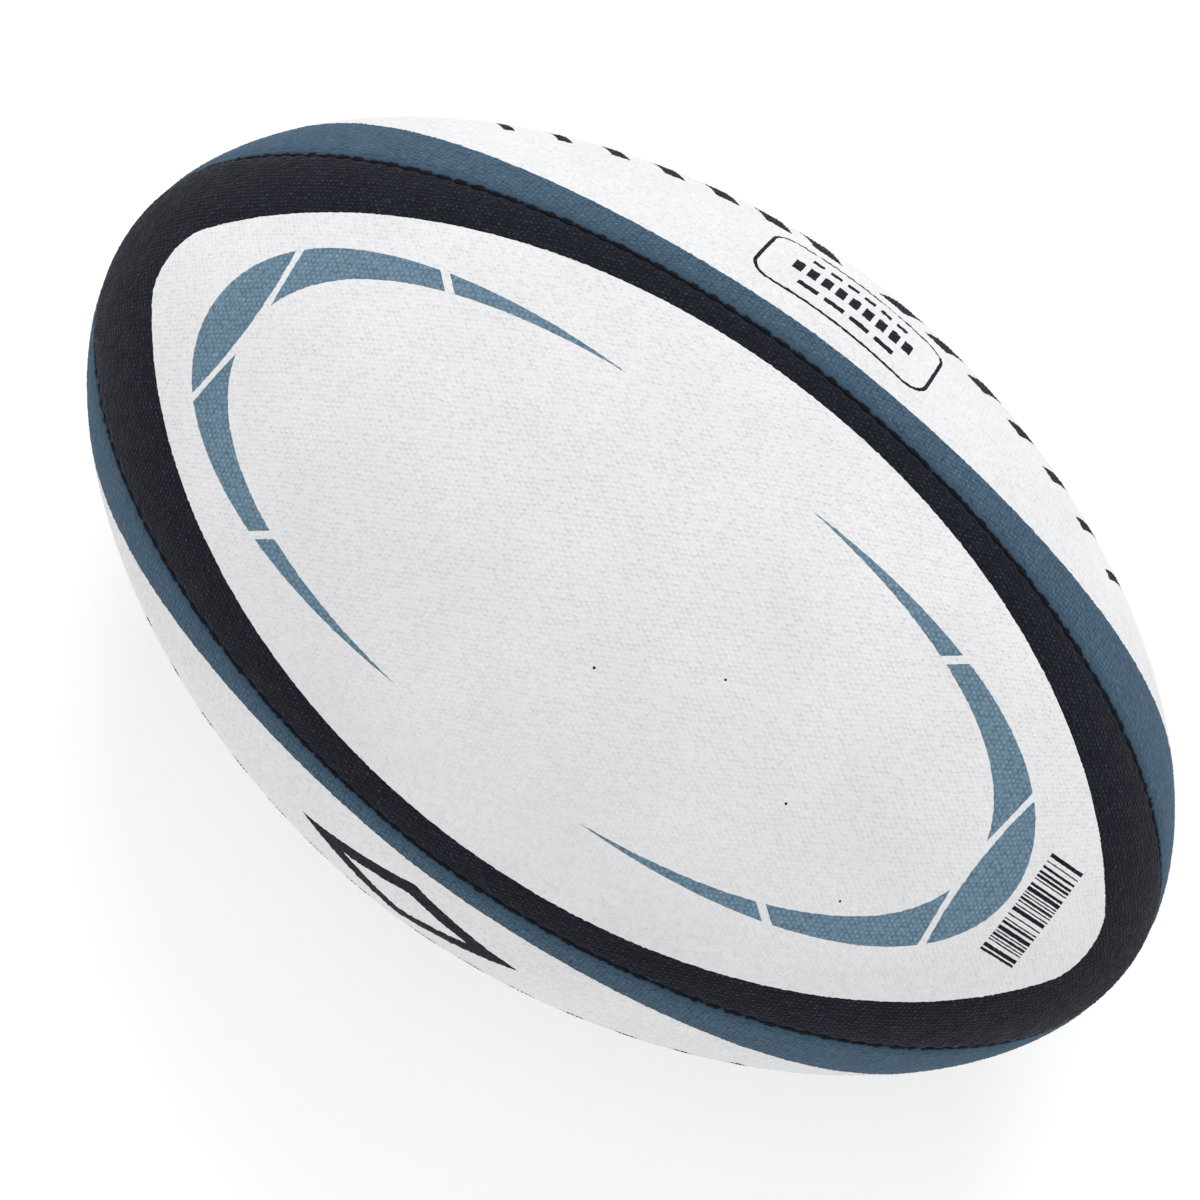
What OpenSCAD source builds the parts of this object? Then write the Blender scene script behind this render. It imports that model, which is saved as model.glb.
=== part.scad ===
// Hand-stitched rugby ball, adult size 5, inflated.
// The long axis lies along X, one black-edged panel faces +Z, and the origin is the centre.
// Four panels meet at four seams. Every panel is a rubber cover on three cloth plies, and its
// edges are turned in and sewn to its neighbours'. A bladder with a valve fills the inside.

/* [Ball] */
// Length from tip to tip
ball_length = 292; // [280:1:300]
// Diameter round the middle
ball_diameter = 186; // [184:1:197]
// Shape of the side: 2 is an ellipse, and less is more pointed
profile_power = 1.88; // [1.84:0.02:2]

/* [Panels] */
// Thickness of the pebbled rubber
rubber_thickness = 1.2; // [1:0.1:1.4]
// Thickness of one cloth ply
ply_thickness = 0.4; // [0.3:0.05:0.5]
// Width of the groove along a seam
groove_width = 1.6; // [1:0.2:2]
// Depth of the groove along a seam
groove_depth = 0.8; // [0.4:0.1:0.9]

/* [Seams] */
// How deep the turned-in edges reach, from the surface
allowance_depth = 7; // [6.5:0.25:8]
// How far from each tip the turned-in edges are trimmed
allowance_trim = 16; // [14:1:24]
// Distance from one stitch to the next
stitch_pitch = 4.4; // [4.2:0.2:6]
// Diameter of the waxed thread
thread_diameter = 0.8; // [0.6:0.1:0.9]

/* [Bladder] */
// Wall of the inflated bladder
bladder_thickness = 0.6; // [0.5:0.1:0.8]
// Gap between the bladder and the sewn edges
bladder_gap = 0.3; // [0.2:0.1:0.5]

/* [Valve] */
// Diameter of the hole in the seam
valve_hole = 8; // [7:0.5:9]
// Diameter of the valve body
valve_diameter = 7.6; // [6:0.2:7.8]
// How far the valve body sits below the surface
valve_recess = 0.5; // [0.3:0.1:0.8]
// Diameter of the soft core
core_diameter = 4.4; // [4:0.2:5]
// Diameter of the needle hole
needle_hole = 2; // [1.8:0.1:2.2]

/* [Balance strip] */
// Length along the seam
strip_length = 40; // [30:1:60]
// Thickness of the strip
strip_thickness = 1.6; // [1:0.1:2]

/* [Hidden] */
$fn = 48;
half_length = ball_length / 2;
half_width = ball_diameter / 2;
profile_steps = 48;                 // straight steps from tip to tip
beyond = ball_length;               // longer than any part of the ball
ply_count = 3;
wall_thickness = rubber_thickness + ply_count * ply_thickness;
edge_bite = 0.15;                   // from a layer's outer face to its turned-in edge's top

// A stitch bar goes through both turned-in edges, and a run of thread lies on each side of them.
run_diameter = thread_diameter + 0.1;
run_offset = wall_thickness + run_diameter / 2;
bar_reach = wall_thickness + 0.9 * run_diameter;
run_shortening = 0.9 * thread_diameter;
stitch_depth = (wall_thickness + allowance_depth) / 2;
stitch_hole = thread_diameter + 0.1;
stitch_margin = 2;                  // from a cut end of the edges to the nearest stitch
allowance_reach = half_length - allowance_trim;

// The bladder stands clear of the sewn edges, in a channel along each seam.
channel_half = wall_thickness + run_diameter + bladder_gap;
channel_depth = allowance_depth + bladder_gap;

// The turned-in edges stop short of the valve, and the bladder fills that place.
valve_clear = 9;
boss_radius = valve_clear - bladder_gap;
patch_thickness = 1.2;
patch_radius = boss_radius - bladder_thickness - bladder_gap;
patch_depth = wall_thickness + bladder_thickness;
collar_diameter = 11;
valve_depth = 9;                    // from the surface to the inner end of the valve
core_recess = 0.3;                  // the core's top below the body's top
hole_start = 30;                    // where the hole's circle starts, clear of both panels' edges
strip_width = 2 * (channel_half + bladder_thickness) - 0.8;

// Panels and seams are placed by turning the top panel, and its seam on the +Y side, about X.
TOP = 0;
FRONT = 90;
BOTTOM = 180;
REAR = 270;
valve_turn = BOTTOM;                // the seam between the bottom and front panels
strip_turn = TOP;                   // the opposite seam, between the top and rear panels

// A point [x, radius] on the profile at an inset, where turn runs from 0 to 180, tip to tip.
function profile_point(inset, turn) = [
    (half_length - inset) * sign(cos(turn)) * pow(abs(cos(turn)), 2 / profile_power),
    (half_width - inset) * pow(sin(turn), 2 / profile_power)
];

function profile_turn(step) = 180 * step / profile_steps;

// Pairs of [length along the stitch line, turn], from one tip to the other.
stitch_line = [
    for (i = 0, run = 0;
        i <= profile_steps;
        run = run + norm(profile_point(stitch_depth, profile_turn(i + 1))
            - profile_point(stitch_depth, profile_turn(i))),
        i = i + 1)
        [run, profile_turn(i)]
];
stitch_line_length = stitch_line[profile_steps][0];

// The stitches of one seam, evenly spaced from its middle.
function stitch_places(with_valve) = [
    for (k = [-floor(stitch_line_length / stitch_pitch / 2):floor(stitch_line_length / stitch_pitch / 2)])
        let (
            along = stitch_line_length / 2 + k * stitch_pitch,
            place = profile_point(stitch_depth, lookup(along, stitch_line)),
            clear = with_valve ? valve_clear + stitch_margin / 2 : -1
        )
        if (abs(place.x) < allowance_reach - stitch_margin && abs(place.x) > clear) place
];

// Everything inside the ball's own shape, at an inset from its surface.
module ball(inset) {
    rotate([0, 90, 0])
        rotate_extrude($fn = 96)
            polygon([
                for (i = [0:profile_steps])
                    let (place = profile_point(inset, profile_turn(i))) [place.y, place.x]
            ]);
}

// The quarter of space round +Z, its sides moved in by an offset.
module quarter(offset) {
    rotate([90, 0, 90])
        linear_extrude(2 * beyond, center = true)
            translate([0, offset * sqrt(2)])
                polygon([[0, 0], [beyond, beyond], [-beyond, beyond]]);
}

// Turns the XY plane, with +Y outward, into the plane of one seam.
module at_seam(turn) {
    rotate([turn + 45, 0, 0]) children();
}

// Turns +Z into the direction in which the pump needle leaves.
module at_valve() {
    at_seam(valve_turn) rotate([-90, 0, 0]) children();
}

// One turned-in edge, flat, with its needle holes.
module turned_edge(top_inset, with_valve) {
    difference() {
        intersection() {
            polygon(concat(
                [for (i = [0:profile_steps]) profile_point(top_inset, profile_turn(i))],
                [for (i = [profile_steps:-1:0]) profile_point(allowance_depth, profile_turn(i))]
            ));
            square([2 * allowance_reach, 2 * beyond], center = true);
        }
        for (place = stitch_places(with_valve))
            translate(place) circle(d = stitch_hole);
        if (with_valve)
            square([2 * valve_clear, 2 * beyond], center = true);
    }
}

// One layer of one panel, with both its edges turned in.
module panel_layer(turn, inset, thickness) {
    difference() {
        rotate([turn, 0, 0]) {
            difference() {
                intersection() {
                    quarter(inset);
                    ball(inset);
                }
                ball(inset + thickness);
            }
            for (side = [0, 1])
                mirror([0, side, 0])
                    at_seam(0)
                        translate([0, 0, inset])
                            linear_extrude(thickness)
                                turned_edge(inset + edge_bite, (turn + 90 * side) % 360 == valve_turn);
        }
        if (turn == valve_turn || turn + 90 == valve_turn)
            at_valve()
                rotate([0, 0, hole_start])
                    translate([0, 0, half_width - valve_depth])
                        cylinder(d = valve_hole, h = 2 * valve_depth);
    }
}

// The rubber cover of one panel, whose long edges dip into the seam grooves.
module cover(turn) {
    color("white")
        difference() {
            panel_layer(turn, 0, rubber_thickness);
            difference() {
                for (seam = [0, 90])
                    at_seam(turn + seam)
                        cube([2 * beyond, 2 * beyond, groove_width], center = true);
                ball(groove_depth);
            }
        }
}

// One of the cloth plies behind a cover, counted from the rubber.
module ply(count, turn) {
    color("wheat")
        panel_layer(turn, rubber_thickness + (count - 1) * ply_thickness, ply_thickness);
}

// A straight run of thread between two places in the seam's plane.
module thread_run(from, to, offset) {
    between = to - from;
    translate([(from.x + to.x) / 2, (from.y + to.y) / 2, offset])
        rotate([0, 0, atan2(between.y, between.x)])
            rotate([0, 90, 0])
                cylinder(d = run_diameter, h = norm(between) - run_shortening, center = true);
}

// The thread of one seam: a bar at each stitch, and runs on both sides of the sewn edges.
module seam_thread(turn) {
    places = stitch_places(turn == valve_turn);
    color("dimgray")
        at_seam(turn) {
            for (place = places)
                translate(place)
                    cylinder(d = thread_diameter, h = 2 * bar_reach, center = true);
            for (i = [1:len(places) - 1])
                if (norm(places[i] - places[i - 1]) < 2 * stitch_pitch)
                    for (side = [-1, 1])
                        thread_run(places[i - 1], places[i], side * run_offset);
        }
}

// The bladder's outer form, shrunk all over by a margin.
module bladder_form(margin) {
    difference() {
        ball(wall_thickness + margin);
        difference() {
            for (seam = [0, 90])
                at_seam(seam)
                    cube([2 * beyond, 2 * beyond, 2 * (channel_half + margin)], center = true);
            ball(channel_depth + margin);
            at_valve() cylinder(r = boss_radius - margin, h = beyond);
        }
    }
}

module bladder() {
    color("black")
        difference() {
            bladder_form(0);
            bladder_form(bladder_thickness);
            at_valve() cylinder(d = valve_diameter, h = beyond);
        }
}

// The disc that stiffens the bladder round the valve, on its inner face.
module valve_patch() {
    color("dimgray")
        difference() {
            intersection() {
                ball(patch_depth);
                at_valve() cylinder(r = patch_radius, h = beyond);
            }
            ball(patch_depth + patch_thickness);
            at_valve() cylinder(d = valve_diameter, h = beyond);
        }
}

// The stem that fills the hole in the seam, with a collar inside the bladder.
module valve_body() {
    inner_end = half_width - valve_depth;
    color("black")
        difference() {
            union() {
                at_valve()
                    translate([0, 0, inner_end])
                        cylinder(d = valve_diameter, h = valve_depth - valve_recess);
                intersection() {
                    at_valve() translate([0, 0, inner_end]) cylinder(d = collar_diameter, h = valve_depth);
                    ball(patch_depth + patch_thickness);
                }
            }
            at_valve() cylinder(d = core_diameter, h = beyond);
        }
}

// The soft plug inside the stem, with the hole that the pump needle opens.
module valve_core() {
    core_length = valve_depth - valve_recess - core_recess;
    color("dimgray")
        at_valve()
            translate([0, 0, half_width - valve_depth])
                difference() {
                    cylinder(d = core_diameter, h = core_length);
                    translate([0, 0, -core_length / 2]) cylinder(d = needle_hole, h = 2 * core_length);
                }
}

// The rubber strip inside the bladder that weighs about what the valve does.
module balance_strip() {
    strip_depth = channel_depth + bladder_thickness;
    color("dimgray")
        difference() {
            intersection() {
                ball(strip_depth);
                at_seam(strip_turn)
                    translate([0, half_width, 0])
                        cube([strip_length, half_width, strip_width], center = true);
            }
            ball(strip_depth + strip_thickness);
        }
}

cover(TOP);  // cover_top
cover(FRONT);  // cover_front
cover(BOTTOM);  // cover_bottom
cover(REAR);  // cover_rear
ply(1, TOP);  // ply_1_top
ply(1, FRONT);  // ply_1_front
ply(1, BOTTOM);  // ply_1_bottom
ply(1, REAR);  // ply_1_rear
ply(2, TOP);  // ply_2_top
ply(2, FRONT);  // ply_2_front
ply(2, BOTTOM);  // ply_2_bottom
ply(2, REAR);  // ply_2_rear
ply(3, TOP);  // ply_3_top
ply(3, FRONT);  // ply_3_front
ply(3, BOTTOM);  // ply_3_bottom
ply(3, REAR);  // ply_3_rear
seam_thread(TOP);  // thread_rear_top
seam_thread(FRONT);  // thread_top_front
seam_thread(BOTTOM);  // thread_front_bottom
seam_thread(REAR);  // thread_bottom_rear
bladder();
valve_patch();
valve_body();
valve_core();
balance_strip();
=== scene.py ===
# A rugby ball: pebbled and printed rubber panels, their sewn seams and the valve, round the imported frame.
# The panels are drawn flat, in millimetres: m runs along the ball from its middle, over the surface,
# and v runs round it from the panel's own centre line. Everything else is in metres.
import math

import bpy
import numpy as np
from mathutils import Matrix, Vector
from mathutils.geometry import delaunay_2d_cdt
from mathutils.kdtree import KDTree


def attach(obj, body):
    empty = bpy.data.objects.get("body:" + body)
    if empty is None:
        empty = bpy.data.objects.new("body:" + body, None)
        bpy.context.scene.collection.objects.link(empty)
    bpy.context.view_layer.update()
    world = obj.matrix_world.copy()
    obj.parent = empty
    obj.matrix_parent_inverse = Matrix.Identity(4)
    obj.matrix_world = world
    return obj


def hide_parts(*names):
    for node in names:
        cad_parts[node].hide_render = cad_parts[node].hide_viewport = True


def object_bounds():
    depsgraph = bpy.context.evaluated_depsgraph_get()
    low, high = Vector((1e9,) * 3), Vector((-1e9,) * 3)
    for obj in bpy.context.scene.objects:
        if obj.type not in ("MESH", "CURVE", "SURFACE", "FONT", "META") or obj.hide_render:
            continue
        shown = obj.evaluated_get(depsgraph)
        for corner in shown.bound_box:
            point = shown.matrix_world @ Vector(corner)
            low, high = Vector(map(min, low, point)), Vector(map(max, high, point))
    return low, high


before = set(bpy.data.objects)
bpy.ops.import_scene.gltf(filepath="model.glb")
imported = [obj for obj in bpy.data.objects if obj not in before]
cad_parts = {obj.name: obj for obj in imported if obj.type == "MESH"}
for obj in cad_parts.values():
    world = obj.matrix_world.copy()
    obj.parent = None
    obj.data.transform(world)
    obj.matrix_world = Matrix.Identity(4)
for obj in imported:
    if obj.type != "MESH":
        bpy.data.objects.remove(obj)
cad_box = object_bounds()

MM = 0.001
ROOT = "root"

# ---------------------------------------------------------------- sizes, in millimetres

HALF_LENGTH = (cad_box[1].x - cad_box[0].x) / 2 / MM
HALF_WIDTH = (cad_box[1].y - cad_box[0].y) / 2 / MM
PROFILE_POWER = 1.88                # shape of the side view: 2 would be an ellipse
SHELL = 1.2                         # rubber thickness
STITCH_PITCH = 4.4
STITCH_DEPTH = 4.7                  # the stitches' own line, below the surface

PEBBLE_PITCH = 1.22
PEBBLE_HEIGHT = 0.26
PEBBLE_STRAY = 0.26                 # how far a pebble may be from its even place
PEBBLE_COLUMN = PEBBLE_PITCH * math.sqrt(3) / 2
PEBBLE_RADIUS = PEBBLE_PITCH / math.sqrt(3)
STEP = 0.7                          # between the points of a seam or of a printed outline

EDGE_START = 1.7                    # where the panel's flat mesh ends and its rolled-in edge starts
EDGE_ROWS = (1.25, 0.85, 0.5, 0.25, 0.09, 0.02)
TURNED_DEPTH = 7.0                  # how deep the turned-in edge reaches
TURNED_END = 130.0                  # its trimmed end, along X
BEAD_DEPTH = 1.5                    # the edge's depth where nothing is turned in
INNER_GRID = 7.0

NOTCH_RADIUS = 4.2                  # round the valve
NOTCH_CORNER = 1.8
VALVE_CLEAR = 9.0                   # no turned-in edge within this distance of the valve
SEAM_END_FADE = 6.0                 # over which the stitching dies away near the tips
VALVE_FADE = 3.0                    # the same beside the valve
VALVE_TOP_DEPTH = 0.35              # the valve's top, collar and inner end, below the surface
VALVE_COLLAR_DEPTH = 4.2
VALVE_END_DEPTH = 9.0

# The panels and seams, as turns about X from the panel that faces +Z.
TURNS = {"top": 0, "front": 90, "bottom": 180, "rear": 270}
VALVE_TURN = 225                    # from +Z to the seam between the front and bottom panels


# ---------------------------------------------------------------- the ball's surface

def profile(shrink):
    """Places along the side view from its middle to its tip: x, radius and length along the curve."""
    turn = np.linspace(0, math.pi / 2, 6001)
    x = (HALF_LENGTH - shrink) * np.sin(turn) ** (2 / PROFILE_POWER)
    radius = (HALF_WIDTH - shrink) * np.cos(turn) ** (2 / PROFILE_POWER)
    steps = np.hypot(np.diff(x), np.diff(radius))
    return x, radius, np.concatenate([[0], np.cumsum(steps)])


SIDE_X, SIDE_RADIUS, SIDE_RUN = profile(0)
STITCH_X, _, STITCH_RUN = profile(STITCH_DEPTH)
END = SIDE_RUN[-1]


def station(m):
    """The x and radius at a distance m over the surface from the ball's middle."""
    run = np.minimum(np.abs(m), END)
    return np.sign(m) * np.interp(run, SIDE_RUN, SIDE_X), np.interp(run, SIDE_RUN, SIDE_RADIUS)


def surface(m, v):
    """Points on the panel that faces +Z, and the normals there."""
    x, radius = station(m)
    angle = v / np.maximum(radius, 1e-6)
    angle = np.clip(angle, -math.pi / 4, math.pi / 4)
    along = np.sign(x) * (np.abs(x) / HALF_LENGTH) ** (PROFILE_POWER - 1) / HALF_LENGTH
    out = (radius / HALF_WIDTH) ** (PROFILE_POWER - 1) / HALF_WIDTH
    size = np.hypot(along, out)
    along, out = along / size, out / size
    points = np.stack([x, radius * np.sin(angle), radius * np.cos(angle)], -1)
    return points, np.stack([along, out * np.sin(angle), out * np.cos(angle)], -1)


def seam(m):
    """The v of the panel's edge at m, and the length of a step along the edge for a step of 1 in m."""
    near = 0.05
    inside = np.clip(m, near - END, END - near)
    slope = (station(inside + near)[1] - station(inside - near)[1]) / (2 * near) * math.pi / 4
    return station(m)[1] * math.pi / 4, np.hypot(1, slope)


TIP_SLOPE = seam(np.array([END]))[1][0]
TIP_LEAN = TIP_SLOPE / math.sqrt(TIP_SLOPE ** 2 - 1)    # how far an inset moves the panel's tip


def smooth(low, high, value):
    share = np.clip((value - low) / (high - low), 0, 1)
    return share * share * (3 - 2 * share)


# ---------------------------------------------------------------- relief

COLUMNS = round(END / PEBBLE_COLUMN) + 3
ROWS = round(HALF_WIDTH / PEBBLE_PITCH) + 3
PEBBLES = np.random.default_rng(1).uniform(-1, 1, (3, 2 * COLUMNS + 1, 2 * ROWS + 1))


def pebble(column, row):
    """The place and height of the pebbles in the given columns, along m, and rows, along v."""
    stray_m, stray_v, tall = PEBBLES[:, column + COLUMNS, row + ROWS]
    m = column * PEBBLE_COLUMN + PEBBLE_STRAY * stray_m
    v = (row + (column % 2) / 2) * PEBBLE_PITCH + PEBBLE_STRAY * stray_v
    return m, v, 0.7 + 0.3 * tall


def pebble_points(panel, inset):
    """The tops of the pebbles and the hollows between each three of them."""
    column, row = np.meshgrid(np.arange(2 - COLUMNS, COLUMNS - 1), np.arange(2 - ROWS, ROWS - 1))
    first = np.array(pebble(column, row)[:2])
    above = np.array(pebble(column, row + 1)[:2])
    points = [first]
    for side in (-1, 1):
        beside = np.array(pebble(column + side, row + column % 2)[:2])
        points.append((first + above + beside) / 3)
    m, v = np.concatenate([p.reshape(2, -1) for p in points], 1)
    keep = np.abs(m) < END
    m, v = m[keep], v[keep]
    keep = np.minimum(*panel.gaps(m, v)) > inset
    return np.stack([m[keep], v[keep]], -1)


def pebbles(m, v):
    """The height of the grain, from 0 between the pebbles to 1 on the tallest tops."""
    middle = np.round(m / PEBBLE_COLUMN).astype(int)
    nearest = np.full(m.shape, np.inf)
    height = np.zeros(m.shape)
    for column in (middle - 1, middle, middle + 1):
        row = np.round(v / PEBBLE_PITCH - (column % 2) / 2).astype(int)
        for step in (-1, 0, 1):
            top_m, top_v, tall = pebble(column, row + step)
            away = np.hypot(m - top_m, v - top_v)
            height = np.where(away < nearest, tall, height)
            nearest = np.minimum(away, nearest)
    return height * (0.5 + 0.5 * np.cos(math.pi * np.minimum(nearest / PEBBLE_RADIUS, 1)))


def stitch_phase(m):
    """Distance along a seam's stitches, in stitches, from the one at the middle."""
    return np.interp(np.abs(station(m)[0]), STITCH_X, STITCH_RUN) / STITCH_PITCH


def stitching(m, notched):
    """How tight the stitches pull a seam in, and how loose it is between them, each from 0 to 1."""
    sewn = 1 - smooth(TURNED_END - SEAM_END_FADE, TURNED_END + SEAM_END_FADE, np.abs(station(m)[0]))
    if notched:
        sewn = sewn * smooth(VALVE_CLEAR - VALVE_FADE, VALVE_CLEAR + VALVE_FADE, np.abs(m))
    tight = (0.5 + 0.5 * np.cos(math.tau * stitch_phase(m))) * sewn
    return tight, sewn - tight


def edge_relief(gap, m, notched):
    """The height of a panel's edge at a distance of gap from its seam, drawn in at each stitch."""
    tight, loose = stitching(m, notched)
    radius = 0.85 + 0.15 * loose + 0.4 * tight
    reach = np.clip(radius - gap, 0, radius)
    roll = radius - np.sqrt(radius ** 2 - reach ** 2)
    droop = (0.12 + 0.38 * (tight + loose)) * np.exp(-gap / 2.4)
    dent = 0.18 * tight * np.exp(-((gap / 1.7) ** 2))
    bulge = 0.16 * loose * np.exp(-(((gap - 1.5) / 1.1) ** 2))
    return bulge - roll - droop - dent


class Panel:
    """One panel's flat outline. notch is 0, or the side, +1 or -1, on which the valve's notch is."""

    def __init__(self, notch):
        self.notch = notch

    def gaps(self, m, v):
        """The distance to each of the two edges, for side -1 and then +1."""
        edge, stretch = seam(m)
        found = []
        for side in (-1, 1):
            gap = (edge - side * v) / stretch
            if side == self.notch:
                around = np.hypot(m, edge - side * v) - NOTCH_RADIUS
                gap = np.where(np.abs(m) < 4 * NOTCH_RADIUS, np.minimum(gap, around), gap)
            found.append(gap)
        return found

    def relief(self, m, v):
        """The height of the surface and the share of it that is grain."""
        gaps = self.gaps(m, v)
        grain = pebbles(m, v)
        height = PEBBLE_HEIGHT * (grain - 0.4)
        height *= smooth(0.3, 1.8, np.minimum(*gaps))
        for side, gap in zip((-1, 1), gaps):
            height = height + edge_relief(gap, m, side == self.notch)
        return height, grain

    def ragged_gap(self, m, v):
        """The distance to the nearer edge, less where the stitches draw it in."""
        low, high = self.gaps(m, v)
        side = np.where(low < high, -1, 1)
        tight = np.where(side == self.notch, stitching(m, True)[0], stitching(m, False)[0])
        return np.minimum(low, high) - 0.5 * tight

    def edge(self, side, inset):
        """One edge from the tip at -X to the one at +X, moved in by an inset, as m and v."""
        m = np.linspace(-END, END, 2 * round(END / STEP) + 1)
        if side != self.notch:
            return self.straight(side, inset, m)
        reach = NOTCH_RADIUS + NOTCH_CORNER
        start = math.sqrt(reach ** 2 - NOTCH_CORNER ** 2)
        lean = math.atan2(NOTCH_CORNER, start)
        corner = np.linspace(math.pi / 2, lean, 6)
        ring = np.linspace(lean - math.pi, -lean, 22)[1:-1]
        radius = NOTCH_CORNER - inset
        left = np.stack([-start + radius * np.cos(corner), radius * np.sin(corner) - NOTCH_CORNER])
        wide = NOTCH_RADIUS + inset
        middle = np.stack([wide * np.cos(ring), wide * np.sin(ring)])
        right = left[:, ::-1] * [[-1], [1]]
        notch_m, notch_v = np.concatenate([left, middle, right], 1)
        before = self.straight(side, inset, m[m < -start - STEP / 2])
        after = self.straight(side, inset, m[m > start + STEP / 2])
        notch = (notch_m, side * (seam(notch_m)[0] + notch_v))
        return tuple(np.concatenate(parts) for parts in zip(before, notch, after))

    def straight(self, side, inset, m):
        m = m - TIP_LEAN * inset * np.sign(m) * np.abs(m / END) ** 8
        edge, stretch = seam(m)
        return m, side * np.maximum(edge - inset * stretch, 0)

    def loop(self, inset):
        """The whole outline, moved in by an inset, anticlockwise as seen from outside."""
        low = self.edge(-1, inset)
        high = self.edge(1, inset)
        m = np.concatenate([low[0], high[0][-2:0:-1]])
        v = np.concatenate([low[1], high[1][-2:0:-1]])
        return m, v

    def turned_depth(self, m, v):
        """How deep the edge reaches at each point of a loop."""
        depth = np.where(np.abs(station(m)[0]) < TURNED_END, TURNED_DEPTH, BEAD_DEPTH)
        at_valve = (np.abs(m) < VALVE_CLEAR) & (np.sign(v) == self.notch)
        return np.where(at_valve, BEAD_DEPTH, depth)


# ---------------------------------------------------------------- printed shapes

FIELD_HALF_WIDTH, FIELD_POWER = 64.2, 2.04
FIELD_END_RADIUS = 12.5
FIELD_HALF_LENGTHS = {"top": 146.0, "front": 146.5, "bottom": 146.0, "rear": 149.0}
FIELD_SHIFTS = {"top": (2.65, 1.1), "front": (-3.1, 2.5), "bottom": (-2.0, 0.8), "rear": (-1.9, -0.5)}
FIELD_TILTS = {"top": -0.38, "front": 0.0, "bottom": 0.2, "rear": 0.0}

CRESCENT_CENTRE = (-2.2, 1.6)
CRESCENT_OUTSIDE = (23.3, 88.2, 40.9)   # an ellipse: its centre along m, and its half sizes
CRESCENT_INSIDE = (0.0, 98.5, 42.1)
END_ARC_CENTRE, END_ARC_RADIUS = 173.8, 74.8
CRESCENT_GAP = 1.8
SLANT_AT, SLANT_ANGLE = (66.2, 33.4), 37.6

MARK_AT = 46.5                      # how far the side panels' marks are from the centre line
CHEVRONS = 7                        # from the middle to each tip
CHEVRON_PITCH = 13.4
CHEVRON_HALF_WIDTH = 24.5
CHEVRON_START = 5                   # the first chevron's distance from the middle
CHEVRON_THICK, CHEVRON_THINNER = 7.5, 0.8   # the first one, and how much each next one loses
CHEVRON_LEAN = 10                   # how far the point is ahead of the ends
LOZENGE_OUTSIDE, LOZENGE_INSIDE = (30, 13), (17, 7.2)
LOZENGE_SHIFT = 1.5
PLAQUE_CENTRE, PLAQUE_INWARD = 2.6, 3
PLAQUE_OUTSIDE, PLAQUE_INSIDE = (23.5, 13.5), (22.6, 12.6)
PLAQUE_CORNERS = (6, 5.1)
# Each row of blocks: its place, a block's half height and width, the gap between blocks and their count.
PLAQUE_ROWS = ((-7.2, 1.0, 5.2, 1.6, 4), (0, 2.6, 2.4, 1.3, 9), (7.2, 1.0, 3.0, 1.6, 6))
SPECKS = ((5, -10), (53, -9.5), (76, -20), (27.5, 3.7))
SPECK_SIZE = 0.32


def dense(*points):
    """A closed outline from corner points or curves, with points about STEP apart."""
    corners = np.concatenate([np.reshape(p, (-1, 2)) for p in points])
    sides = np.roll(corners, -1, 0) - corners
    length = np.hypot(*sides.T)
    keep = length > 1e-6
    corners, sides, length = corners[keep], sides[keep], length[keep]
    run = np.concatenate([[0], np.cumsum(length)])
    turned = np.cross(sides, np.roll(sides, 1, 0)) / (length * np.roll(length, 1))
    sharp = np.flatnonzero(np.abs(turned) > 0.4)
    if not len(sharp):
        sharp = np.array([0])
    stops = np.append(run[sharp], run[sharp[0]] + run[-1])
    places = []
    for low, high in zip(stops[:-1], stops[1:]):
        count = max(1, round((high - low) / STEP))
        places.append(low + (high - low) * np.arange(count) / count)
    places = np.concatenate(places) % run[-1]
    ring = np.concatenate([corners, corners[:1]])
    return np.stack([np.interp(places, run, ring[:, k]) for k in (0, 1)], -1)


def ellipse(centre, half, low=0, high=360, count=240):
    turn = np.radians(np.linspace(low, high, count, endpoint=high - low < 360))
    return np.stack([centre[0] + half[0] * np.cos(turn), centre[1] + half[1] * np.sin(turn)], -1)


def box_outline(centre, half):
    signs = np.array([(-1, -1), (1, -1), (1, 1), (-1, 1)])
    return dense(np.array(centre) + signs * half)


def field(name):
    """The white field: two bowed flanks and round ends."""
    half_length = FIELD_HALF_LENGTHS[name]
    m = np.linspace(0, half_length, 2001)[1:-1]
    flank = FIELD_HALF_WIDTH * (1 - (m / half_length) ** FIELD_POWER)
    slope = np.gradient(flank, m)
    last = np.argmax(flank * np.hypot(1, slope) < FIELD_END_RADIUS)
    centre = m[last] + flank[last] * slope[last]
    lean = math.degrees(math.atan2(flank[last], m[last] - centre))
    end = ellipse((centre, 0), (FIELD_END_RADIUS, FIELD_END_RADIUS), 0, lean, 24)
    side = np.stack([m[:last], flank[:last]], -1)[::-20]
    quarter = np.concatenate([end, side])
    half = np.concatenate([quarter, quarter[::-1] * (-1, 1)])
    outline = dense(half, half[-2:0:-1] * (1, -1))
    tilt = math.radians(FIELD_TILTS[name])
    turn = np.array([[math.cos(tilt), math.sin(tilt)], [-math.sin(tilt), math.cos(tilt)]])
    return outline @ turn + FIELD_SHIFTS[name]


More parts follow.
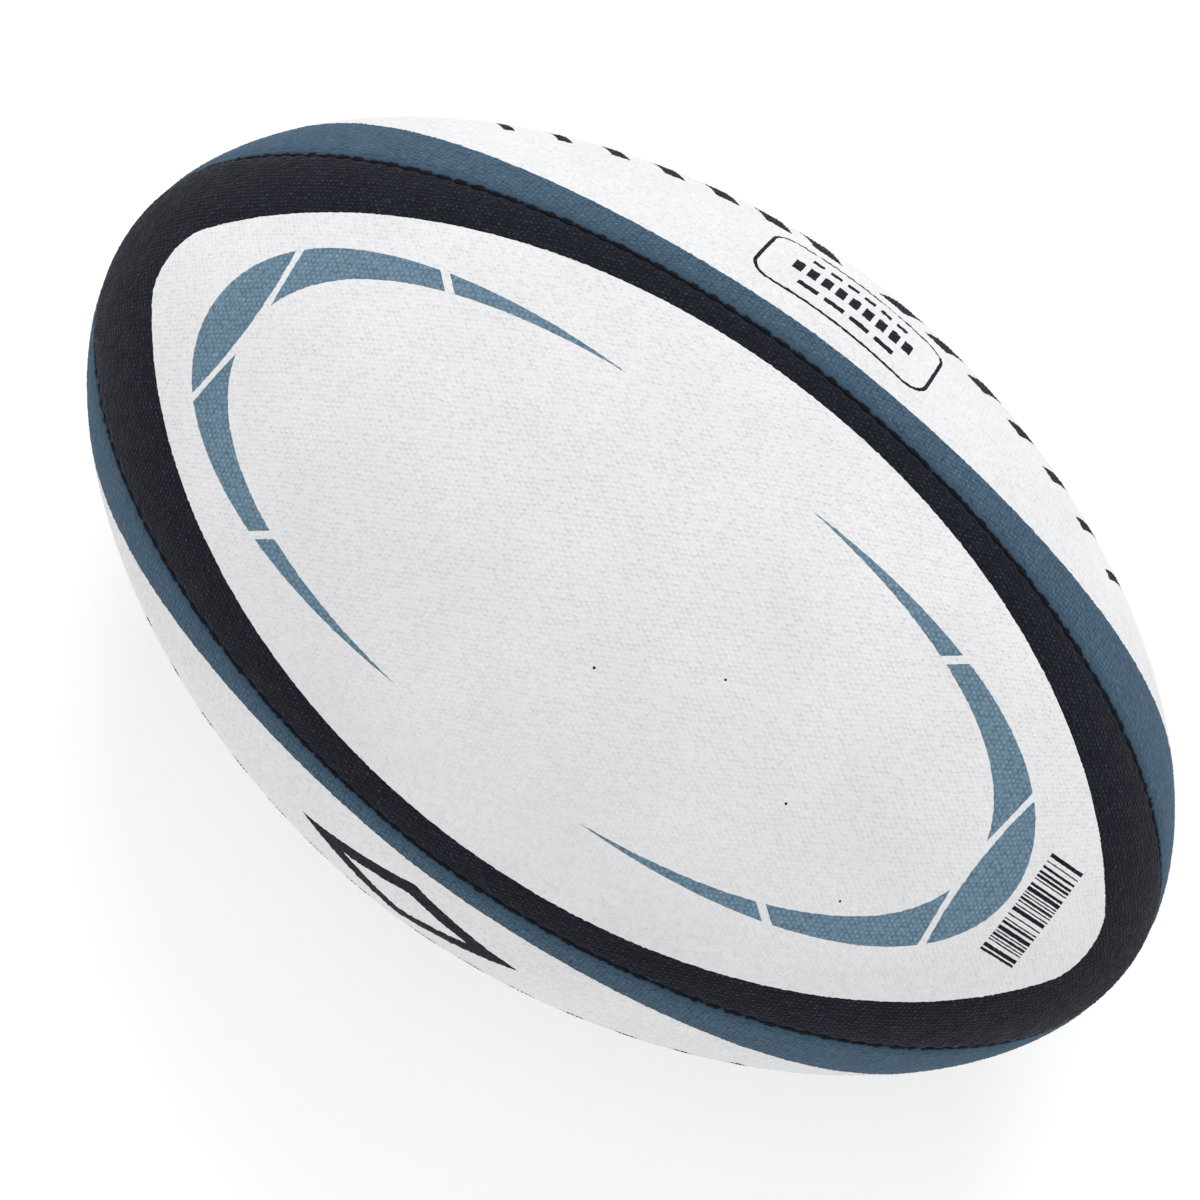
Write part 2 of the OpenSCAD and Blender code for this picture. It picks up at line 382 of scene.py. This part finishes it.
def crescents():
    """The broken crescents at both ends of a field: a tip, and a middle and a tail on both sides."""
    centre_out, long_out, wide_out = CRESCENT_OUTSIDE
    outside = ellipse((centre_out, 0), (long_out, wide_out), 0, 90, 900)
    inside = ellipse((CRESCENT_INSIDE[0], 0), CRESCENT_INSIDE[1:], 0, 90, 900)
    inside = inside[inside[:, 0] > centre_out]
    slant = math.radians(SLANT_ANGLE)

    def from_arc(points):
        return np.hypot(points[:, 0] - END_ARC_CENTRE, points[:, 1]) - END_ARC_RADIUS

    def past_slant(points):
        return (points - SLANT_AT) @ (-math.sin(slant), math.cos(slant))

    tip_side = outside[from_arc(outside) < 0]
    reach = math.asin(tip_side[-1, 1] / END_ARC_RADIUS)
    turn = np.linspace(reach, -reach, 40)[1:-1]
    arc = np.stack([END_ARC_CENTRE - END_ARC_RADIUS * np.cos(turn), END_ARC_RADIUS * np.sin(turn)], -1)
    tip = dense(tip_side[:0:-1] * (1, -1), tip_side, arc)

    def between(points):
        return points[(from_arc(points) > CRESCENT_GAP) & (past_slant(points) < -CRESCENT_GAP / 2)]

    def after(points):
        return points[past_slant(points) > CRESCENT_GAP / 2]

    middle = dense(between(outside), between(inside)[::-1])
    tail = dense(after(outside), after(inside)[::-1])
    shapes = []
    for end in (-1, 1):
        shapes.append(tip * (end, 1))
        for side in (-1, 1):
            shapes += [middle * (end, side), tail * (end, side)]
    return [shape + CRESCENT_CENTRE for shape in shapes]


def bar_block():
    """Plain bars of mixed widths, which encode nothing."""
    rng = np.random.default_rng(12)
    shapes = []
    v = -11.7
    while v < 13.6:
        wide = rng.choice((0.32, 0.32, 0.62, 0.95))
        shapes.append(box_outline((117.5, v + wide / 2), (5.8, wide / 2)))
        v += wide + rng.choice((0.36, 0.36, 0.62, 0.9))
    return shapes


def chevrons():
    """Chevrons along a side panel's middle that point to both tips and grow thinner towards them."""
    shapes = []
    for k in range(CHEVRONS):
        near = CHEVRON_START + CHEVRON_PITCH * k
        far = near + CHEVRON_THICK - CHEVRON_THINNER * k
        corners = [
            (near, 1), (far, 1), (far + CHEVRON_LEAN, 0),
            (far, -1), (near, -1), (near + CHEVRON_LEAN, 0),
        ]
        outline = dense(np.array(corners) * (1, CHEVRON_HALF_WIDTH))
        shapes += [outline, outline * (-1, 1)]
    return shapes


def specks():
    return [ellipse(place, (SPECK_SIZE, SPECK_SIZE), count=7) for place in SPECKS]


def lozenge(side, half):
    m, v = half
    return dense(np.array([(-m, 0), (0, -v), (m, 0), (0, v)]) + (LOZENGE_SHIFT, side * MARK_AT))


def rounded(centre, half, radius):
    m, v = half[0] - radius, half[1] - radius
    corners = [
        ellipse((a * m, b * v), (radius, radius), low, low + 90, 12)
        for a, b, low in ((1, 1, 0), (-1, 1, 90), (-1, -1, 180), (1, -1, 270))
    ]
    return dense(*corners) + centre


def plaque(side):
    """A rounded frame round rows of plain blocks, as (material, outline)."""
    centre = np.array((PLAQUE_CENTRE, side * (MARK_AT - PLAQUE_INWARD)))
    shapes = [
        ("black_ink", rounded(centre, PLAQUE_OUTSIDE, PLAQUE_CORNERS[0])),
        ("white", rounded(centre, PLAQUE_INSIDE, PLAQUE_CORNERS[1])),
    ]
    for row, high, wide, gap, count in PLAQUE_ROWS:
        start = -(count * (wide + gap) - gap) / 2
        for k in range(count):
            middle = start + k * (wide + gap) + wide / 2
            shapes.append(("black_ink", box_outline(centre + (middle, row), (wide / 2, high))))
    return shapes


def prints(name):
    """The panel's printed shapes in the order they lie on each other, as (material, outline)."""
    shapes = [("white", field(name))]
    if name in ("top", "bottom"):
        shapes += [("light_ink", shape) for shape in crescents()]
    if name == "top":
        shapes += [("black_ink", shape) for shape in bar_block() + specks()]
    if name in ("front", "rear"):
        shapes += [("black_ink", shape) for shape in chevrons()]
    for side in (-1, 1):
        if name == "front":
            shapes.append(("black_ink", lozenge(side, LOZENGE_OUTSIDE)))
            shapes.append(("white", lozenge(side, LOZENGE_INSIDE)))
        if name == "rear":
            shapes += plaque(side)
    return shapes


def inside(points, outline):
    """Which points lie within a closed outline."""
    low, high = outline.min(0), outline.max(0)
    near = np.flatnonzero(((points > low) & (points < high)).all(1))
    m, v = points[near].T
    hits = np.zeros(len(near), bool)
    for (m0, v0), (m1, v1) in zip(outline, np.roll(outline, -1, 0)):
        if v0 != v1:
            crosses = (v0 > v) != (v1 > v)
            hits ^= crosses & (m < (m1 - m0) * (v - v0) / (v1 - v0) + m0)
    found = np.zeros(len(points), bool)
    found[near[hits]] = True
    return found


# ---------------------------------------------------------------- panel meshes

def coarse_points(spacing, panel):
    """An even grid of points on a panel."""
    lines = (np.arange(-reach, reach, spacing) for reach in (END, HALF_WIDTH))
    m, v = (grid.ravel() for grid in np.meshgrid(*lines))
    keep = np.minimum(*panel.gaps(m, v)) > spacing / 2
    return np.stack([m[keep], v[keep]], -1)


def clear_of(points, others, distance):
    """Which points are further than a distance from all the others."""
    tree = KDTree(len(others))
    for k, (m, v) in enumerate(others.tolist()):
        tree.insert((m, v, 0), k)
    tree.balance()
    return np.array([tree.find((m, v, 0))[2] > distance for m, v in points.tolist()], bool)


def fill(loop, lines, spread, clearance):
    """Triangles that fill a loop, keep to closed lines inside it and use spread points between them."""
    fixed = np.concatenate([loop, *lines]) if lines else loop
    spread = spread[clear_of(spread, fixed, clearance)]
    edges, start = [], len(loop)
    for line in lines:
        edges += [(start + k, start + (k + 1) % len(line)) for k in range(len(line))]
        start += len(line)
    points = [Vector(p) for p in np.concatenate([fixed, spread]).tolist()]
    found, _, faces, origin, _, _ = delaunay_2d_cdt(points, edges, [list(range(len(loop)))], 1, 1e-5, True)
    place = {first: k for k, group in enumerate(origin) for first in group}
    return np.array(found), np.array(faces), np.array([place[k] for k in range(len(loop))])


def within(panel, points, faces, least):
    """The triangles whose middle is on the panel, so none bridges the valve notch."""
    m, v = points[faces].mean(1).T
    return faces[np.minimum(*panel.gaps(m, v)) > least]


def panel_mesh(name, panel, materials):
    shapes = prints(name)
    rng = np.random.default_rng(TURNS[name])
    lines = [outline + rng.uniform(-0.05, 0.05, outline.shape) for _, outline in shapes]
    loop = np.stack(panel.loop(EDGE_START), -1)
    spread = pebble_points(panel, EDGE_START + 0.45 * PEBBLE_RADIUS)
    flat, faces, rim = fill(loop, lines, spread, 0.42 * PEBBLE_RADIUS)
    faces = within(panel, flat, faces, EDGE_START / 2)

    names = list(materials)
    border = names.index("black_ink" if name in ("top", "bottom") else "blue_ink")
    centre = flat[faces].mean(1)
    ink = np.full(len(faces), border)
    for (material, _), outline in zip(shapes, lines):
        ink[inside(centre, outline)] = names.index(material)

    m, v = flat.T
    height, grain = panel.relief(m, v)
    points, normals = surface(m, v)
    vertices = [points + normals * height[:, None]]
    grains = [grain]
    gaps = [panel.ragged_gap(m, v)]
    quads, quad_ink = [], []
    count, last = len(flat), rim
    ring = len(rim)

    def add_row(row, material, gap=0.0):
        """Joins a new row of points to the last one."""
        nonlocal count, last
        new = np.arange(count, count + ring)
        quads.append(np.stack([last, new, np.roll(new, -1), np.roll(last, -1)], -1))
        quad_ink.append(np.full(ring, material))
        vertices.append(row)
        grains.append(np.full(ring, 0.3))
        gaps.append(np.broadcast_to(gap, ring))
        count += ring
        last = new

    for inset in EDGE_ROWS:
        m, v = panel.loop(inset)
        points, normals = surface(m, v)
        side = np.sign(v)
        height = np.zeros(ring)
        for s in (-1, 1):
            with_notch = s == panel.notch
            own = edge_relief(np.full(ring, inset), m, with_notch)
            other = edge_relief(np.maximum(panel.gaps(m, v)[0 if s < 0 else 1], 0), m, with_notch)
            height += np.where(side == s, own, other)
        if inset == EDGE_ROWS[-1]:
            wall_top = -height
        add_row(points + normals * height[:, None], border, panel.ragged_gap(m, v))

    m, v = panel.loop(EDGE_ROWS[-1])
    outer, down = surface(m, v)
    depth = np.maximum(panel.turned_depth(m, v), wall_top + 0.2)
    rubber = names.index("bare_rubber")
    add_row(outer - down * ((wall_top + depth) / 2)[:, None], border)
    add_row(outer - down * depth[:, None], rubber)
    m, v = panel.loop(SHELL)
    inner, _ = surface(m, v)
    add_row(inner - down * depth[:, None], rubber)
    add_row(inner - down * (SHELL + 0.05), rubber)

    back_loop = np.stack([m, v], -1)
    back_spread = coarse_points(INNER_GRID, panel)
    back, back_faces, back_rim = fill(back_loop, [], back_spread, 0.5)
    back_faces = within(panel, back, back_faces, SHELL / 2)
    points, normals = surface(*back.T)
    index = np.arange(count, count + len(back))
    index[back_rim] = last
    fresh = np.ones(len(back), bool)
    fresh[back_rim] = False
    index[fresh] = np.arange(count, count + fresh.sum())
    vertices.append((points - normals * (SHELL + 0.05))[fresh])
    grains.append(np.full(fresh.sum(), 0.3))
    gaps.append(np.full(fresh.sum(), 9.0))

    triangles = np.concatenate([faces, index[back_faces][:, ::-1]])
    triangle_ink = np.concatenate([ink, np.full(len(back_faces), rubber)])
    return (
        np.concatenate(vertices), triangles, triangle_ink,
        np.concatenate(quads), np.concatenate(quad_ink),
        {"grain": np.concatenate(grains), "seam_gap": np.concatenate(gaps)},
    )


def turned(points, turn):
    """Points turned about X, by degrees from +Z towards -Y."""
    a = math.radians(turn)
    x, y, z = points.T
    return np.stack([x, y * math.cos(a) - z * math.sin(a), y * math.sin(a) + z * math.cos(a)], -1)


def make_panel(name, materials):
    notch = {"front": -1, "bottom": 1}.get(name, 0)
    vertices, triangles, triangle_ink, quads, quad_ink, fields = panel_mesh(name, Panel(notch), materials)
    vertices = turned(vertices, TURNS[name]) * MM
    mesh = bpy.data.meshes.new("panel_" + name)
    mesh.vertices.add(len(vertices))
    mesh.vertices.foreach_set("co", vertices.ravel())
    mesh.loops.add(triangles.size + quads.size)
    mesh.loops.foreach_set("vertex_index", np.concatenate([triangles.ravel(), quads.ravel()]))
    starts = np.concatenate([
        np.arange(len(triangles)) * 3,
        triangles.size + np.arange(len(quads)) * 4,
    ])
    mesh.polygons.add(len(starts))
    mesh.polygons.foreach_set("loop_start", starts)
    mesh.polygons.foreach_set("material_index", np.concatenate([triangle_ink, quad_ink]))
    for material in materials.values():
        mesh.materials.append(material)
    for key, values in fields.items():
        mesh.attributes.new(key, "FLOAT", "POINT").data.foreach_set("value", values.astype(np.float32))
    mesh.update(calc_edges=True)
    mesh.validate()
    mesh.shade_smooth()
    panel = bpy.data.objects.new("panel_" + name, mesh)
    bpy.context.scene.collection.objects.link(panel)
    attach(panel, ROOT)
    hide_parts("cover_" + name)
    return panel


# ---------------------------------------------------------------- materials

# The near-black of the painted shade in a seam's groove.
SEAM_SHADE_PAINT = (0.008, 0.009, 0.012)
WEAVE_PITCH = 0.0008                # from thread to thread of the cloth, in metres


class Shader:
    """A material whose Principled shader's inputs are fed by nodes or set on its own sockets."""

    def __init__(self, name, **values):
        self.material = bpy.data.materials.new(name)
        self.material.use_nodes = True
        self.nodes = self.material.node_tree.nodes
        self.links = self.material.node_tree.links
        self.principled = self.nodes["Principled BSDF"]
        for key, value in values.items():
            self.principled.inputs[key.replace("_", " ")].default_value = value
        self.place = self.nodes.new("ShaderNodeTexCoord").outputs["Object"]
        self.normal = None

    def noise(self, size, detail=2.0):
        """Noise with features of about the given size in metres."""
        node = self.nodes.new("ShaderNodeTexNoise")
        node.inputs["Scale"].default_value = 1 / size
        node.inputs["Detail"].default_value = detail
        self.links.new(self.place, node.inputs["Vector"])
        return node.outputs["Fac"]

    def attribute(self, name):
        node = self.nodes.new("ShaderNodeAttribute")
        node.attribute_name = name
        return node.outputs["Fac"]

    def spread(self, value, low, high, to_low=0.0, to_high=1.0, curve="LINEAR"):
        """A value stretched from one range to another."""
        node = self.nodes.new("ShaderNodeMapRange")
        node.interpolation_type = curve
        for key, number in (("From Min", low), ("From Max", high), ("To Min", to_low), ("To Max", to_high)):
            node.inputs[key].default_value = number
        self.links.new(value, node.inputs["Value"])
        return node.outputs["Result"]

    def mix(self, share, first, second):
        """A colour between two colours or colour outputs."""
        node = self.nodes.new("ShaderNodeMix")
        node.data_type = "RGBA"
        self.links.new(share, node.inputs["Factor"])
        for key, colour in (("A", first), ("B", second)):
            socket = next(s for s in node.inputs if s.name == key and s.type == "RGBA")
            if isinstance(colour, bpy.types.NodeSocket):
                self.links.new(colour, socket)
            else:
                socket.default_value = (*colour, 1)
        return next(s for s in node.outputs if s.type == "RGBA")

    def combine(self, first, second, operation="ADD"):
        """The result of an operation on two values or value outputs."""
        node = self.nodes.new("ShaderNodeMath")
        node.operation = operation
        for socket, value in zip(node.inputs, (first, second)):
            if isinstance(value, bpy.types.NodeSocket):
                self.links.new(value, socket)
            else:
                socket.default_value = value
        return node.outputs[0]

    def bump(self, height, strength, distance):
        """Relief in metres on the surface, or on the relief added before."""
        node = self.nodes.new("ShaderNodeBump")
        node.inputs["Strength"].default_value = strength
        node.inputs["Distance"].default_value = distance
        self.links.new(height, node.inputs["Height"])
        if self.normal:
            self.links.new(self.normal, node.inputs["Normal"])
        self.normal = node.outputs["Normal"]
        self.links.new(self.normal, self.principled.inputs["Normal"])

    def feed(self, **outputs):
        for key, output in outputs.items():
            self.links.new(output, self.principled.inputs[key.replace("_", " ")])
        return self.material


def printed_rubber(name, colour, hollow_shade, top, roughness=0.6, seam_shade_width=0.0):
    """Pebbled rubber or the ink on it, with painted shade between the pebbles and a painted highlight on
    their tops.
    Where the last argument is set, the colour darkens towards the seam with painted shade, and a ragged
    near-black line of painted shade, about that many millimetres wide, runs along the seam."""
    shader = Shader(name, Specular_IOR_Level=0.07)
    grain = shader.attribute("grain")
    uneven = shader.noise(0.0012, 2)
    patchy = shader.noise(0.03, 3)
    body = shader.mix(shader.spread(patchy, 0.35, 0.65), colour, tuple(0.93 * c for c in colour))
    # Painted shade: a darker colour between the pebbles, where the grain is low.
    low = shader.combine(shader.spread(grain, 0.4, 0.0), shader.spread(uneven, 0.25, 0.6), "MULTIPLY")
    body = shader.mix(low, body, hollow_shade)
    # Painted highlight: the top colour lightens the pebbles' tops.
    high = shader.combine(shader.spread(grain, 0.45, 0.95), shader.spread(uneven, 0.7, 0.35), "MULTIPLY")
    body = shader.mix(high, body, top)
    if seam_shade_width:
        gap = shader.combine(shader.attribute("seam_gap"), shader.spread(uneven, 0.3, 0.7, -0.3, 0.3))
        # Painted shade: the colour darkens towards the seam, where its crease lies in shade.
        body = shader.mix(shader.spread(gap, 3.5, 0.6, 0, 0.55), body, hollow_shade)
        # Painted shade: a ragged near-black line along the seam, over the ink, where the groove lies in
        # shade.
        body = shader.mix(shader.spread(gap, seam_shade_width + 0.12, seam_shade_width - 0.12), body, SEAM_SHADE_PAINT)
    rounded = shader.spread(grain, 0, 1, curve="SMOOTHSTEP")
    shader.bump(rounded, 1.0, PEBBLE_HEIGHT * MM)
    shader.bump(shader.noise(0.0003, 3), 0.3, 0.00005)
    rough = shader.spread(shader.noise(0.004, 4), 0.3, 0.7, roughness - 0.06, roughness + 0.08)
    return shader.feed(Base_Color=body, Roughness=rough)


def plain_rubber(name, colour, roughness=0.55):
    shader = Shader(name, Specular_IOR_Level=0.4)
    tint = shader.spread(shader.noise(0.006, 4), 0.3, 0.7)
    body = shader.mix(tint, colour, tuple(0.8 * c for c in colour))
    shader.bump(shader.noise(0.0005, 3), 0.3, 0.00005)
    rough = shader.spread(shader.noise(0.002, 3), 0.3, 0.7, roughness - 0.08, roughness + 0.1)
    return shader.feed(Base_Color=body, Roughness=rough)


def woven_cloth(name, warp, weft):
    """Plain weave in the cloth plies, 0.8 mm from thread to thread."""
    shader = Shader(name, Specular_IOR_Level=0.25, Sheen_Weight=0.3)
    waves = []
    for axis in ("X", "Y"):
        node = shader.nodes.new("ShaderNodeTexWave")
        node.bands_direction = axis
        node.inputs["Scale"].default_value = 1 / (math.pi * WEAVE_PITCH)
        node.inputs["Distortion"].default_value = 0.6
        shader.links.new(shader.place, node.inputs["Vector"])
        waves.append(node.outputs["Fac"])
    over = shader.combine(waves[0], waves[1], "MULTIPLY")
    body = shader.mix(shader.spread(over, 0.1, 0.8), warp, weft)
    patchy = shader.spread(shader.noise(0.01, 4), 0.4, 0.8, 0, 0.5)
    body = shader.mix(patchy, body, tuple(0.8 * c for c in warp))
    shader.bump(shader.combine(waves[0], waves[1], "ADD"), 0.5, 0.0001)
    rough = shader.spread(shader.noise(0.003, 3), 0.3, 0.7, 0.75, 0.95)
    return shader.feed(Base_Color=body, Roughness=rough)


def waxed_thread(name, colour):
    """Twisted, waxed polyester thread."""
    shader = Shader(name, Specular_IOR_Level=0.5, Coat_Weight=0.15)
    node = shader.nodes.new("ShaderNodeTexWave")
    node.bands_direction = "DIAGONAL"
    node.inputs["Scale"].default_value = 500
    node.inputs["Distortion"].default_value = 1.5
    shader.links.new(shader.place, node.inputs["Vector"])
    twist = node.outputs["Fac"]
    body = shader.mix(twist, tuple(0.6 * c for c in colour), colour)
    shader.bump(twist, 0.6, 0.0001)
    rough = shader.spread(shader.noise(0.001, 3), 0.3, 0.7, 0.35, 0.6)
    return shader.feed(Base_Color=body, Roughness=rough)


# ---------------------------------------------------------------- the valve

def lathe(name, outline, material):
    """A closed outline of (radius, height) in mm, turned round the valve's axis."""
    segments = 72
    outline = np.array(outline, float)
    turn = np.linspace(0, math.tau, segments, endpoint=False)
    rings = np.stack([
        outline[:, None, 0] * np.cos(turn),
        outline[:, None, 0] * np.sin(turn),
        np.broadcast_to(outline[:, None, 1], (len(outline), segments)),
    ], -1)
    index = np.arange(len(outline) * segments).reshape(len(outline), segments)
    after = np.roll(index, -1, 0)
    quads = np.stack([index, np.roll(index, -1, 1), np.roll(after, -1, 1), after], -1).reshape(-1, 4)
    points = turned(rings.reshape(-1, 3), -VALVE_TURN + 360) * MM
    mesh = bpy.data.meshes.new(name)
    mesh.from_pydata(points.tolist(), [], quads[:, ::-1].tolist())
    mesh.materials.append(material)
    mesh.update()
    mesh.shade_smooth()
    piece = bpy.data.objects.new(name, mesh)
    bpy.context.scene.collection.objects.link(piece)
    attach(piece, ROOT)
    return piece


def arc(centre, radius, low, high, count=7):
    return [tuple(p) for p in ellipse(centre, (radius, radius), low, high, count)]


def make_valve(material, core_material):
    """The valve's moulded body and the soft core in it, as outlines of (radius, height) from the axis."""
    top = HALF_WIDTH - VALVE_TOP_DEPTH
    inner_end = HALF_WIDTH - VALVE_END_DEPTH
    collar_top = HALF_WIDTH - VALVE_COLLAR_DEPTH
    outline = [
        *arc((3.35, top - 0.45), 0.45, 0, 180),
        (2.75, top - 0.75), (2.3, top - 0.85),
        *arc((2.45, top - 1.05), 0.25, 90, 180, 4),
        (2.2, inner_end + 4.0), (2.2, inner_end + 0.3), (2.5, inner_end),
        *arc((5.1, inner_end + 0.4), 0.4, 270, 360, 5),
        *arc((5.1, collar_top - 0.4), 0.4, 0, 90, 5),
        *arc((4.1, collar_top + 0.3), 0.3, 270, 180, 4),
        (3.8, collar_top + 2),
    ]
    body = lathe("valve_stem", outline, material)
    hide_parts("valve_body")
    core_top = top - 0.95
    outline = [
        (1.0, inner_end + 0.3), (1.0, core_top - 0.9),
        *arc((1.35, core_top - 0.85), 0.35, 180, 90, 5),
        (1.7, core_top - 0.45),
        *arc((1.9, core_top - 0.75), 0.27, 90, 0, 5),
        (2.17, inner_end + 4.0), (2.17, inner_end + 0.3),
    ]
    core = lathe("valve_plug", outline[::-1], core_material)
    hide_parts("valve_core")


# ---------------------------------------------------------------- stage, lights and camera

FLOOR_HALF_SIZE = 4.0
FLOOR_GAP = 0.0001                  # the floor lies this far below the ball
HORIZON_LIGHT, ZENITH_LIGHT = 1.5, 0.72
CAMERA_EYE = (0.0105, 0.0352, 0.5665)
CAMERA_AIM = (-0.0046, -0.0050, 0.0)
CAMERA_ROLL = 36.8
CAMERA_LENS = 71.74


def make_stage():
    level = cad_box[0].z - FLOOR_GAP
    signs = ((-1, -1), (1, -1), (1, 1), (-1, 1))
    corners = [(x * FLOOR_HALF_SIZE, y * FLOOR_HALF_SIZE, level) for x, y in signs]
    mesh = bpy.data.meshes.new("floor")
    mesh.from_pydata(corners, [], [(0, 1, 2, 3)])
    shader = Shader(
        "floor_paper", Specular_IOR_Level=0.1, Roughness=0.9,
        Emission_Color=(1, 1, 1, 1), Emission_Strength=0.1,
    )
    tint = shader.spread(shader.noise(0.3, 2), 0.3, 0.7)
    mesh.materials.append(shader.feed(Base_Color=shader.mix(tint, (0.95, 0.95, 0.95), (0.94, 0.94, 0.94))))
    floor = bpy.data.objects.new("floor", mesh)
    bpy.context.scene.collection.objects.link(floor)


def make_studio():
    """A white room that is brighter low down than overhead."""
    world = bpy.data.worlds.new("studio")
    world.use_nodes = True
    nodes, links = world.node_tree.nodes, world.node_tree.links
    place = nodes.new("ShaderNodeTexCoord")
    split = nodes.new("ShaderNodeSeparateXYZ")
    fade = nodes.new("ShaderNodeMapRange")
    ends = {"From Min": 0.0, "From Max": 1.0, "To Min": HORIZON_LIGHT, "To Max": ZENITH_LIGHT}
    for key, number in ends.items():
        fade.inputs[key].default_value = number
    links.new(place.outputs["Generated"], split.inputs[0])
    links.new(split.outputs["Z"], fade.inputs["Value"])
    links.new(fade.outputs["Result"], nodes["Background"].inputs["Strength"])
    nodes["Background"].inputs["Color"].default_value = (1, 1, 1, 1)
    bpy.context.scene.world = world


def add_softbox(name, place, size, power):
    light = bpy.data.lights.new(name, "AREA")
    light.shape = "DISK"
    light.size = size
    light.energy = power
    lamp = bpy.data.objects.new(name, light)
    lamp.location = place
    lamp.rotation_euler = (-Vector(place)).to_track_quat("-Z", "Y").to_euler()
    bpy.context.scene.collection.objects.link(lamp)


def add_camera():
    """Nearly straight above the ball, turned so that its long axis falls to the lower right."""
    eye = Vector(CAMERA_EYE)
    back = (eye - Vector(CAMERA_AIM)).normalized()
    roll = math.radians(CAMERA_ROLL)
    right = Vector((math.cos(roll), math.sin(roll), 0))
    right = (right - back * right.dot(back)).normalized()
    up = back.cross(right)
    data = bpy.data.cameras.new("camera")
    data.lens = CAMERA_LENS
    data.sensor_width = 36
    camera = bpy.data.objects.new("camera", data)
    rotation = Matrix((right, up, back)).transposed().to_4x4()
    camera.matrix_world = Matrix.Translation(eye) @ rotation
    bpy.context.scene.collection.objects.link(camera)
    bpy.context.scene.camera = camera


# ---------------------------------------------------------------- putting it together

add_camera()
make_stage()
make_studio()
add_softbox("key", (-0.45, 1.25, 1.2), 0.7, 9)
bpy.context.scene.view_settings.view_transform = "Standard"

# In each printed rubber, the second colour is painted shade between the pebbles and the third is a painted
# highlight on their tops.
panel_materials = {
    "white": printed_rubber("white_rubber", (0.72, 0.72, 0.73), (0.64, 0.64, 0.65), (0.74, 0.74, 0.75)),
    "black_ink": printed_rubber(
        "black_ink", (0.008, 0.010, 0.018), (0.0005, 0.0005, 0.002), (0.055, 0.06, 0.08)),
    # The blue ink also gets painted shade along its seams, as a ragged near-black line about 0.45 mm wide.
    "blue_ink": printed_rubber(
        "blue_ink", (0.060, 0.108, 0.158), (0.018, 0.042, 0.072), (0.16, 0.22, 0.28), seam_shade_width=0.45),
    "light_ink": printed_rubber(
        "light_ink", (0.145, 0.232, 0.305), (0.06, 0.11, 0.15), (0.28, 0.38, 0.46)),
    "bare_rubber": plain_rubber("bare_rubber", (0.62, 0.61, 0.58)),
}
for panel_name in TURNS:
    make_panel(panel_name, panel_materials)

make_valve(
    plain_rubber("valve_stem_rubber", (0.03, 0.03, 0.032)),
    plain_rubber("valve_plug_rubber", (0.09, 0.088, 0.085)),
)

cloth = woven_cloth("ply_cloth", (0.62, 0.55, 0.42), (0.74, 0.68, 0.56))
thread = waxed_thread("seam_thread", (0.22, 0.21, 0.19))
butyl = plain_rubber("bladder_rubber", (0.035, 0.034, 0.033), 0.4)
patch_rubber = plain_rubber("patch_rubber", (0.07, 0.068, 0.066))
# The covers and the valve's nodes get a finish too, but what replaces them hides it.
for node_name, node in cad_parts.items():
    if node_name.startswith("ply"):
        finish = cloth
    elif node_name.startswith("thread"):
        finish = thread
    elif node_name == "bladder":
        finish = butyl
    else:
        finish = patch_rubber
    node.data.materials.clear()
    node.data.materials.append(finish)
